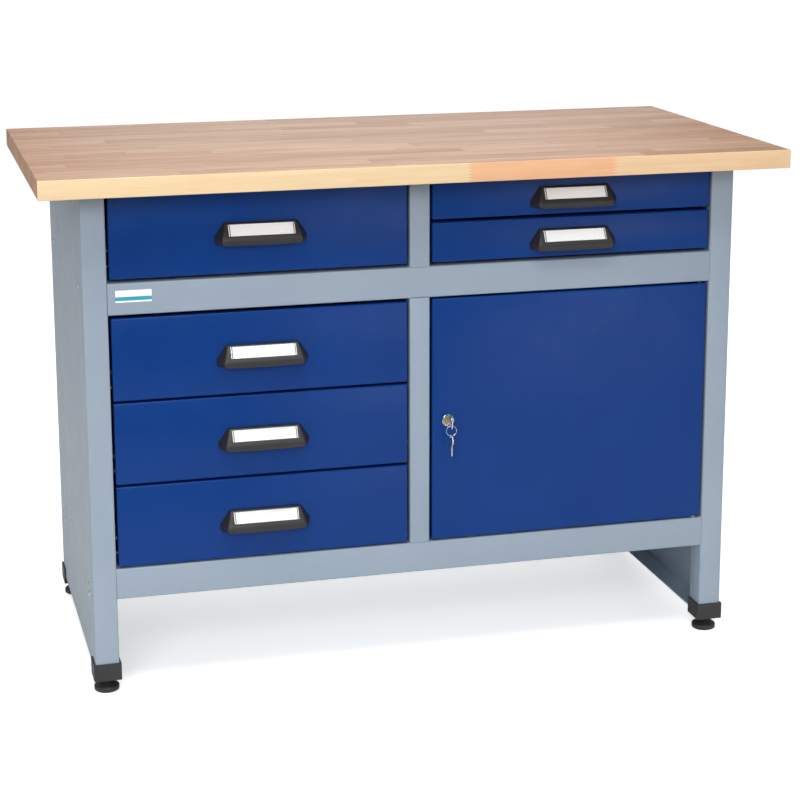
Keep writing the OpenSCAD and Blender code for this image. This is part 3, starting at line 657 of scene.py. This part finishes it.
# the slot in the partition follows the swing of the cam
camLow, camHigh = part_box("lock_cam")
camPlay, camThick = 3 * mm, 2 * mm
camWide = camHigh.x - camLow.x
camLong = camHigh.z - camLow.z - camWide / 2
camAcross = (camLow.x + camHigh.x) / 2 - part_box("lower_partition")[1].x
camRise = math.sqrt(camLong ** 2 + (camWide / 2) ** 2 - camAcross ** 2)
camSlot = (Vector((0, camLow.y - camPlay, camLow.z - camPlay)),
           Vector((0, camLow.y + camThick + camPlay, camLow.z + camWide / 2 + camRise + camPlay)))
sidePiece("left_side", -1)
sidePiece("right_side", 1)
trayPiece("mid_tray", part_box("upper_partition")[0].z - frameSheet["railHigh"])
trayPiece("floor_tray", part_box("lower_partition")[0].z - frameSheet["railHigh"])
partitionPiece("upper_partition")
partitionPiece("lower_partition", camSlot)
rearRailPiece("rear_rail")
print("frame sheets folded")


# fronts and door: pans folded from 1.2 mm sheet, corners welded and ground
panSheet = {"thick": 1.2 * mm, "bend": 2.0 * mm, "lockHole": 8.05 * mm}     # the hole is a radius


def panPiece(node, holes=()):
    low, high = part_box(node)
    bm = bmesh.new()
    boxInto(bm, low, high)
    back = [f for f in bm.faces if f.normal.y > 0.5]
    bmesh.ops.delete(bm, geom=back, context="FACES_ONLY")
    folds = [e for e in bm.edges if not e.is_boundary]
    bmesh.ops.bevel(bm, geom=folds, offset=panSheet["bend"], segments=4, profile=0.5, affect="EDGES")
    pan = addPiece(node + "Pan", bm, frontPaint, bodyOf(node), [node],
                   sheetModifiers(panSheet["thick"]))
    for centre, radius in holes:
        cutRound(pan, centre, radius)


def cutRound(piece, centre, radius):
    # a round hole along Y
    bm = bmesh.new()
    turn = Matrix.Translation(centre) @ Matrix.Rotation(math.pi / 2, 4, "X")
    bmesh.ops.create_cone(
        bm, cap_ends=True, segments=48, radius1=radius, radius2=radius, depth=10 * mm, matrix=turn)
    mesh = bpy.data.meshes.new("punch")
    bm.to_mesh(mesh)
    bm.free()
    punch = bpy.data.objects.new("punch", mesh)
    bpy.context.scene.collection.objects.link(punch)
    modifier = piece.modifiers.new("hole", "BOOLEAN")
    modifier.operation = "DIFFERENCE"
    modifier.object = punch
    graph = bpy.context.evaluated_depsgraph_get()
    material = piece.data.materials[0]
    piece.data = bpy.data.meshes.new_from_object(piece.evaluated_get(graph))
    piece.modifiers.clear()
    bpy.data.objects.remove(punch)
    piece.data.materials.clear()
    piece.data.materials.append(material)
    piece.data.shade_smooth()
    piece.data.set_sharp_from_angle(angle=math.radians(34))


barrelLow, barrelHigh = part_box("lock_barrel")
lockAxis = Vector(((barrelLow.x + barrelHigh.x) / 2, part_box("door")[0].y, (barrelLow.z + barrelHigh.z) / 2))
for number in drawerNumbers:
    panPiece(f"drawer_{number}_front")
panPiece("door", [(lockAxis, panSheet["lockHole"])])
print("fronts and door folded")


# worktop: one glued board, its edges eased with sandpaper
worktopLook = {"easedEdge": 1.6 * mm}
board = bmesh.new()
boxInto(board, topLow, topHigh)
addPiece("worktopBoard", board, beech, bodyOf("worktop"), ["worktop"],
         [("BEVEL", {"width": worktopLook["easedEdge"], "segments": 4})])


# handles: moulded shell with a sloping label face and a grip lip below it
handleLook = {
    "topWide": 116 * mm, "topDeep": 5 * mm, "topEnd": 2 * mm, "lipHigh": 9 * mm, "lipInset": 10 * mm,
    "wall": 2.4 * mm, "edge": 1.6 * mm, "bow": 0.8 * mm, "endHigh": 12 * mm, "cornerCut": 3.2 * mm,
    "pocketPlay": 0.3 * mm, "pocketDeep": 0.8 * mm, "film": 0.25 * mm, "windowGap": 0.05 * mm,
    "barInset": 1.5 * mm, "barWide": 1.3 * mm, "barProud": 0.9 * mm,
}


def slopeFrame(node):
    # the sloping face of a handle: its top middle, the way up it and the way out of it
    low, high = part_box(node)
    middle = (low.x + high.x) / 2
    top = Vector((middle, high.y - handleLook["topDeep"], high.z))
    foot = Vector((middle, low.y, low.z + handleLook["lipHigh"]))
    up = (top - foot).normalized()
    return top, up, Vector((0, -up.z, up.y))


def windowSize(cardNode, top, up):
    # half the width of the card's window, and where it starts and ends down the slope
    cardLow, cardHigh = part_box(cardNode)
    play = handleLook["pocketPlay"]
    half = (cardHigh.x - cardLow.x) / 2 + play
    start = (top.z - cardHigh.z) / up.z - play
    long = (cardHigh.z - cardLow.z - handleLook["pocketDeep"] * abs(up.y)) / up.z
    return half, start, start + long + 2 * play


def handlePiece(node, cardNode):
    low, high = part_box(node)
    middle, look = (low.x + high.x) / 2, handleLook
    half, topHalf = (high.x - low.x) / 2, look["topWide"] / 2
    lipHalf, lipTop = half - look["lipInset"], low.z + look["lipHigh"]
    top, up, out = slopeFrame(node)
    windowHalf, windowTop, windowFoot = windowSize(cardNode, top, up)
    bm = bmesh.new()

    def corner(x, y, z):
        return bm.verts.new((middle + x, y, z))

    def onSlope(x, down, inward=0.0):
        point = top - up * down - out * inward
        return bm.verts.new((middle + x, point.y, point.z))

    wall, front = high.y, low.y
    headDeep = high.y - look["topDeep"]
    columns = 12                        # faces along the bowed lip
    cut, shoulder = look["cornerCut"], low.z + look["endHigh"]
    for side in (-1, 1):
        footWall = corner(side * (half - cut), wall, low.z)
        cutWall = corner(side * half, wall, low.z + cut)
        bendWall = corner(side * half, wall, shoulder)
        headWall = corner(side * topHalf, wall, high.z)
        headFront = corner(side * (topHalf - look["topEnd"]), headDeep, high.z)
        lipHead = corner(side * lipHalf, front, lipTop)
        lipSide = corner(side * lipHalf, front, low.z + cut)
        lipFoot = corner(side * (lipHalf - cut), front, low.z + look["bow"])
        lipInner = corner(side * (lipHalf - cut), front, lipTop)
        bm.faces.new((headWall, headFront, lipHead, bendWall))
        bm.faces.new((bendWall, lipHead, lipSide, cutWall))
        bm.faces.new((cutWall, lipSide, lipFoot, footWall))
        bm.faces.new((lipHead, lipInner, lipFoot, lipSide))
    ends = [-1 + 2 * i / columns for i in range(columns + 1)]
    # lip, bowed along its lower edge
    upper = [corner(t * (lipHalf - cut), front, lipTop) for t in ends]
    lower = [corner(t * (lipHalf - cut), front, low.z + look["bow"] * t * t) for t in ends]
    for i in range(columns):
        bm.faces.new((lower[i], lower[i + 1], upper[i + 1], upper[i]))
    upper = [corner(-lipHalf, front, lipTop), *upper, corner(lipHalf, front, lipTop)]
    # upper edge and the sloping face round the card pocket
    headWalls = [corner(s * topHalf, wall, high.z) for s in (-1, 1)]
    headFronts = [corner(s * (topHalf - look["topEnd"]), headDeep, high.z) for s in (-1, 1)]
    bm.faces.new((headWalls[0], headWalls[1], headFronts[1], headFronts[0]))
    rimTop = [onSlope(s * windowHalf, windowTop) for s in (-1, 1)]
    rimFoot = [onSlope(s * windowHalf, windowFoot) for s in (-1, 1)]
    deepTop = [onSlope(s * windowHalf, windowTop, look["pocketDeep"]) for s in (-1, 1)]
    deepFoot = [onSlope(s * windowHalf, windowFoot, look["pocketDeep"]) for s in (-1, 1)]
    bm.faces.new((headFronts[0], headFronts[1], rimTop[1], rimTop[0]))
    bm.faces.new((headFronts[0], rimTop[0], rimFoot[0], upper[0]))
    bm.faces.new((headFronts[1], upper[-1], rimFoot[1], rimTop[1]))
    bm.faces.new((rimFoot[0], rimFoot[1], *reversed(upper)))
    bm.faces.new((rimTop[0], rimTop[1], deepTop[1], deepTop[0]))
    bm.faces.new((rimFoot[1], rimFoot[0], deepFoot[0], deepFoot[1]))
    bm.faces.new((rimTop[0], deepTop[0], deepFoot[0], rimFoot[0]))
    bm.faces.new((rimTop[1], rimFoot[1], deepFoot[1], deepTop[1]))
    bm.faces.new((deepTop[0], deepTop[1], deepFoot[1], deepFoot[0]))
    closeSheet(bm, (middle, wall, low.z))
    pocketCorners = (*rimTop, *rimFoot, *deepTop, *deepFoot)
    pocket = {tuple(round(c, 6) for c in v.co) for v in pocketCorners if v.is_valid}
    hard = [e for e in bm.edges if not e.is_boundary and e.calc_face_angle(0) > math.radians(12)
            and not all(tuple(round(c, 6) for c in v.co) in pocket for v in e.verts)]
    bmesh.ops.bevel(
        bm, geom=hard, offset=look["edge"], segments=3, profile=0.5, affect="EDGES", clamp_overlap=True)
    addPiece(node + "Shell", bm, blackAbs, bodyOf(node), [node], [
        ("SOLIDIFY", {"thickness": look["wall"], "offset": -1.0, "use_even_offset": True}),
        ("BEVEL", {"width": 0.35 * mm, "segments": 2, "limit_method": "ANGLE",
                   "angle_limit": math.radians(45)}),
    ], smoothAngle=30)


def slopeBlock(bm, origin, up, out, across, down, rise):
    # a block lying on the sloping face: its ranges across, down the slope and out from it
    made = bmesh.ops.create_cube(bm, size=1)["verts"]
    for vert in made:
        x, y, z = (l + (h - l) * (c + 0.5) for (l, h), c in zip((across, rise, down), vert.co))
        point = origin - up * z + out * y
        vert.co = (origin.x + x, point.y, point.z)


def windowPiece(node, cardNode):
    # the clear cover over the card: a thin film between two snap-in end bars
    top, up, out = slopeFrame(node)
    look = handleLook
    half, *down = windowSize(cardNode, top, up)
    film = bmesh.new()
    rise = (look["windowGap"], look["windowGap"] + look["film"])
    slopeBlock(film, top, up, out, (-half, half), down, rise)
    bmesh.ops.recalc_face_normals(film, faces=film.faces)
    addPiece(node.replace("handle", "film"), film, filmPvc, bodyOf(node), (), [
        ("BEVEL", {"width": 0.08 * mm, "segments": 1})])
    bars = bmesh.new()
    far = half - look["barInset"]
    near = far - look["barWide"]
    for span in ((-far, -near), (near, far)):
        slopeBlock(bars, top, up, out, span, down, (rise[0], rise[0] + look["barProud"]))
    bmesh.ops.recalc_face_normals(bars, faces=bars.faces)
    addPiece(node.replace("handle", "clips"), bars, clipPvc, bodyOf(node), (), [
        ("BEVEL", {"width": 0.3 * mm, "segments": 3})])


for number in drawerNumbers:
    handlePiece(f"drawer_{number}_handle", f"drawer_{number}_card")
    windowPiece(f"drawer_{number}_handle", f"drawer_{number}_card")
print("handles moulded")


def latheInto(bm, profile, centre, segments):
    # a turned shape in a mesh of its own: profile points are (radius, height)
    verts = [bm.verts.new((r, 0, h)) for r, h in profile]
    edges = [bm.edges.new(pair) for pair in zip(verts, verts[1:])]
    bmesh.ops.spin(bm, geom=verts + edges, axis=(0, 0, 1), cent=(0, 0, 0), angle=2 * math.pi,
                   steps=segments, use_merge=True, use_duplicate=False)
    bmesh.ops.remove_doubles(bm, verts=bm.verts, dist=1e-6)
    bmesh.ops.translate(bm, vec=centre, verts=bm.verts)
    bmesh.ops.recalc_face_normals(bm, faces=bm.faces)


# levelling feet: nylon pad with a soft rim and a moulded neck
footLook = {"rimHigh": 8 * mm, "domeHigh": 14 * mm, "neck": 9 * mm, "rimRound": 1.8 * mm,
            "stud": 5 * mm, "studTip": 4 * mm, "belowCaps": 5 * mm}
for corner in ("front_left", "front_right", "rear_left", "rear_right"):
    low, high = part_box("foot_" + corner)
    radius = (high.x - low.x) / 2
    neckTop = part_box("foot_caps")[0].z - footLook["belowCaps"]
    profile = roundedPath([
        (0, 0, 0), (radius - 2.5 * mm, 0, 0.6 * mm), (radius, 1.8 * mm, 1.2 * mm),
        (radius, footLook["rimHigh"], footLook["rimRound"]),
        (radius - 3 * mm, footLook["rimHigh"] + 2.2 * mm, 1.5 * mm),
        (footLook["neck"] + 2.5 * mm, footLook["domeHigh"], 2.2 * mm),
        (footLook["neck"], footLook["domeHigh"] + 3 * mm, 1.5 * mm),
        (footLook["neck"], neckTop, 0.8 * mm), (footLook["stud"], neckTop, 0.1 * mm),
        (footLook["stud"], high.z - 1 * mm, 0.4 * mm),
        (footLook["studTip"], high.z, 0.1 * mm), (0, high.z, 0)])
    bm = bmesh.new()
    latheInto(bm, profile, ((low.x + high.x) / 2, (low.y + high.y) / 2, 0), segments=64)
    addPiece("foot_" + corner + "_turned", bm, nylon, "foot_" + corner, ["foot_" + corner])
print("feet turned")


# side screws: pan heads with a cross recess
screwLook = {"dome": 2.4 * mm, "crossLong": 5.2 * mm, "crossWide": 1.1 * mm, "crossDeep": 1.5 * mm,
             "crossTaper": 0.72, "steps": 48}


def screwHeads():
    bm = bmesh.new()
    for low, high in looseParts("side_screws"):
        side = -1 if low.x < 0 else 1
        face = high.x if side > 0 else low.x
        centre = Vector((face, (low.y + high.y) / 2, (low.z + high.z) / 2))
        radius, dome = (high.z - low.z) / 2, screwLook["dome"]
        # seen from above: a cross set into the crown, ringed by the dome
        profile = roundedPath([
            (radius, -dome, 0), (radius, -dome * 0.62, 0.9 * mm),
            (radius * 0.62, -0.12 * mm, 2.4 * mm), (radius * 0.6, -0.1 * mm, 0)], 4)
        rings, steps = [], screwLook["steps"]
        for r, h in profile:
            turns = [2 * math.pi * k / steps for k in range(steps)]
            rings.append([bm.verts.new((h, r * math.cos(turn), r * math.sin(turn))) for turn in turns])
        for inner, outer in zip(rings, rings[1:]):
            for k in range(steps):
                bm.faces.new((inner[k], inner[(k + 1) % steps], outer[(k + 1) % steps], outer[k]))
        long, wide, taper = screwLook["crossLong"] / 2, screwLook["crossWide"] / 2, screwLook["crossTaper"]
        crossOutline = [
            (wide, wide), (wide, long), (-wide, long), (-wide, wide), (-long, wide), (-long, -wide),
            (-wide, -wide), (-wide, -long), (wide, -long), (wide, -wide), (long, -wide), (long, wide)]
        rim = [bm.verts.new((-0.02 * mm, y, z)) for y, z in crossOutline]
        floorRim = [bm.verts.new((-screwLook["crossDeep"], y * taper, z * taper)) for y, z in crossOutline]
        count = len(rim)
        for k in range(count):
            bm.faces.new((rim[k], rim[(k + 1) % count], floorRim[(k + 1) % count], floorRim[k]))
        bm.faces.new(floorRim)
        joinRings(bm, rings[-1], rim)
        made = [v for ring in rings for v in ring] + rim + floorRim
        turn = Matrix.Translation(centre) @ Matrix.Diagonal((side, 1, 1, 1))
        bmesh.ops.transform(bm, matrix=turn, verts=made)
    bmesh.ops.recalc_face_normals(bm, faces=bm.faces)
    addPiece("side_screw_heads", bm, zinc, bodyOf("side_screws"), ["side_screws"],
             smoothAngle=30)


def joinRings(bm, outer, inner):
    # faces between a round ring and an outline inside it, by angle
    def angleOf(vert):
        return math.atan2(vert.co.z, vert.co.y) % (2 * math.pi)
    outer = sorted(outer, key=angleOf)
    inner = sorted(inner, key=angleOf)
    i = j = 0
    while i < len(outer) or j < len(inner):
        a, b = outer[i % len(outer)], inner[j % len(inner)]
        nextA = angleOf(outer[(i + 1) % len(outer)]) + 2 * math.pi * (i + 1 >= len(outer))
        nextB = angleOf(inner[(j + 1) % len(inner)]) + 2 * math.pi * (j + 1 >= len(inner))
        if i < len(outer) and (nextA <= nextB or j >= len(inner)):
            bm.faces.new((a, outer[(i + 1) % len(outer)], b))
            i += 1
        else:
            bm.faces.new((a, inner[(j + 1) % len(inner)], b))
            j += 1


screwHeads()
print("screw heads pressed")


# keys: stamped from nickel-plated sheet, with a shaped bow and a cut blade
keyLook = {
    "hole": 2.6 * mm, "edge": 0.35 * mm, "blade": 7.5 * mm,
    "cuts": (1.6, 0.6, 2.0, 1.0, 1.7), "cutPitch": 2.6 * mm,     # depths in millimetres
    "lobeDeep": 0.05, "shoulder": 1.5 * mm, "firstCut": 3.0 * mm, "tip": 2.5 * mm, "ringPlay": 0.1 * mm,
    "bowSteps": 48,
}


def solidOf(curve):
    # the mesh that a curve with depth makes
    blank = bpy.data.objects.new("blank", curve)
    bpy.context.scene.collection.objects.link(blank)
    graph = bpy.context.evaluated_depsgraph_get()
    mesh = bpy.data.meshes.new_from_object(blank.evaluated_get(graph))
    bpy.data.objects.remove(blank)
    bm = bmesh.new()
    bm.from_mesh(mesh)
    bpy.data.meshes.remove(mesh)
    return bm


def keyPiece(node, centre, bowRadius, tip, holePlace, thickness):
    # outline in the plane across X: the bow is a rounded three-lobed head, the blade points to the tip
    reach = tip - centre
    onward = reach.normalized()
    aside = Vector((0, onward.z, -onward.y))
    half = keyLook["blade"] / 2
    neck = math.asin(half / bowRadius)
    outline = []
    steps = keyLook["bowSteps"]
    for k in range(steps + 1):
        turn = neck + (2 * math.pi - 2 * neck) * k / steps
        lobe = 1 - keyLook["lobeDeep"] * (0.5 + 0.5 * math.cos(3 * turn + math.pi))
        if k in (0, steps):
            lobe = 1
        outline.append(centre + (onward * math.cos(turn) + aside * math.sin(turn)) * bowRadius * lobe)
    shoulder = bowRadius + keyLook["shoulder"]
    length = reach.length
    outline.append(centre + onward * shoulder - aside * half)
    place = shoulder + keyLook["firstCut"]
    for depth in keyLook["cuts"]:
        outline.append(centre + onward * place - aside * half)
        outline.append(centre + onward * (place + 0.35 * keyLook["cutPitch"]) - aside * (half - depth * mm))
        outline.append(centre + onward * (place + 0.65 * keyLook["cutPitch"]) - aside * (half - depth * mm))
        place += keyLook["cutPitch"]
    outline.append(centre + onward * (length - keyLook["tip"]) - aside * half)
    outline.append(centre + onward * length)
    outline.append(centre + onward * (length - keyLook["tip"]) + aside * half)
    outline.append(centre + onward * shoulder + aside * half)
    curve = bpy.data.curves.new(node + "Outline", "CURVE")
    curve.dimensions = "2D"
    curve.fill_mode = "BOTH"
    curve.extrude = thickness / 2 - keyLook["edge"]
    curve.bevel_depth = keyLook["edge"]
    curve.bevel_resolution = 2
    curve.offset = -keyLook["edge"]
    spokes = [Vector((0, math.cos(math.pi * k / 12), math.sin(math.pi * k / 12))) for k in range(24)]
    holeRing = [holePlace + spoke * keyLook["hole"] for spoke in spokes]
    for points in (outline, holeRing):
        spline = curve.splines.new("POLY")
        spline.points.add(len(points) - 1)
        spline.use_cyclic_u = True
        for point, target in zip(spline.points, points):
            point.co = (target.y, target.z, 0, 1)
    bm = solidOf(curve)
    bmesh.ops.remove_doubles(bm, verts=bm.verts, dist=1e-6)
    for vert in bm.verts:
        vert.co = (centre.x + vert.co.z, vert.co.x, vert.co.y)
    bmesh.ops.recalc_face_normals(bm, faces=bm.faces)
    addPiece(node + "Stamped", bm, nickel, bodyOf(node), [node], smoothAngle=40)


def rodBox(node):
    low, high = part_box(node)
    return low, high, (low + high) / 2, high - low


low, high, middle, size = rodBox("key")
bowRadius = size.z / 2
keyCentre = Vector((middle.x, low.y + bowRadius, middle.z))
ringLow, ringHigh, ringMiddle, ringSize = rodBox("key_ring")
wire = ringSize.y / 2
keyHole = Vector((middle.x, ringMiddle.y, ringHigh.z - 2 * wire - keyLook["ringPlay"] + keyLook["hole"]))
keyPiece("key", keyCentre, bowRadius, Vector((middle.x, high.y, middle.z)), keyHole, size.x)
low, high, middle, size = rodBox("spare_key")
spareRadius = size.y / 2
spareCentre = Vector((middle.x, middle.y, high.z - spareRadius))
spareHole = Vector((middle.x, middle.y, ringLow.z + 2 * wire + keyLook["ringPlay"] - keyLook["hole"]))
keyPiece("spare_key", spareCentre, spareRadius, Vector((middle.x, middle.y, low.z)), spareHole, size.x)


# split ring: nearly two turns of flat-wound wire
ringLook = {"turns": 1.9, "steps": 180}


def splitRing(node):
    turns, steps = ringLook["turns"], ringLook["steps"]
    radius = ringSize.x / 2 - wire
    points = []
    for k in range(steps + 1):
        turn = 2 * math.pi * turns * k / steps
        rise = (k / steps - 0.5) * wire
        points.append(ringMiddle + Vector((radius * math.sin(turn), rise, radius * math.cos(turn))))
    curve = bpy.data.curves.new(node + "Wire", "CURVE")
    curve.dimensions = "3D"
    curve.bevel_depth = wire * 0.5
    curve.bevel_resolution = 3
    curve.use_fill_caps = True
    spline = curve.splines.new("POLY")
    spline.points.add(len(points) - 1)
    for point, target in zip(spline.points, points):
        point.co = (*target, 1)
    bm = solidOf(curve)
    addPiece(node + "Split", bm, nickel, bodyOf(node), [node], smoothAngle=50)


splitRing("key_ring")
print("keys and ring made")


# the pieces whose CAD shape is already right: eased edges and their real finishes
nodeFinish = {
    "back_panel": (framePaint, "frame_paint", 0.25), "cupboard_shelf": (framePaint, "frame_paint", 0.4),
    "shelf_pegs": (zinc, "zinc_steel", 0.4), "nameplate": (plateFilm, "nameplate_film", 0.12),
    "worktop_screws": (zinc, "zinc_steel", 0.5), "foot_caps": (nylon, "black_plastic", 0.8),
    "runner_channels_left": (zinc, "zinc_steel", 0.3), "runner_channels_right": (zinc, "zinc_steel", 0.3),
    "hinge_pins": (zinc, "zinc_steel", 0.3), "lock_barrel": (chrome, "lock_chrome", 0.7),
    "lock_nut": (zinc, "zinc_steel", 0.4), "lock_plug": (brass, "plug_brass", 0.3),
    "lock_cam": (zinc, "zinc_steel", 0.3),
}
for number in drawerNumbers:
    nodeFinish[f"drawer_{number}_box"] = (framePaint, "box_paint", 0.35)
    nodeFinish[f"drawer_{number}_card"] = (card, "label_card", 0.1)
    nodeFinish[f"drawer_{number}_slides"] = (zinc, "zinc_steel", 0.3)
for node, (material, slotName, easing) in nodeFinish.items():
    piece = frame["nodes"][node]
    for place in range(len(piece.data.materials)):
        piece.data.materials[place] = material
    weld = piece.modifiers.new("weld", "WELD")
    weld.merge_threshold = 0.002 * mm
    bevel = piece.modifiers.new("easedEdges", "BEVEL")
    bevel.width = easing * mm
    bevel.segments = 2
    bevel.limit_method = "ANGLE"
    bevel.angle_limit = math.radians(40)
print("carried nodes finished:", len(nodeFinish))
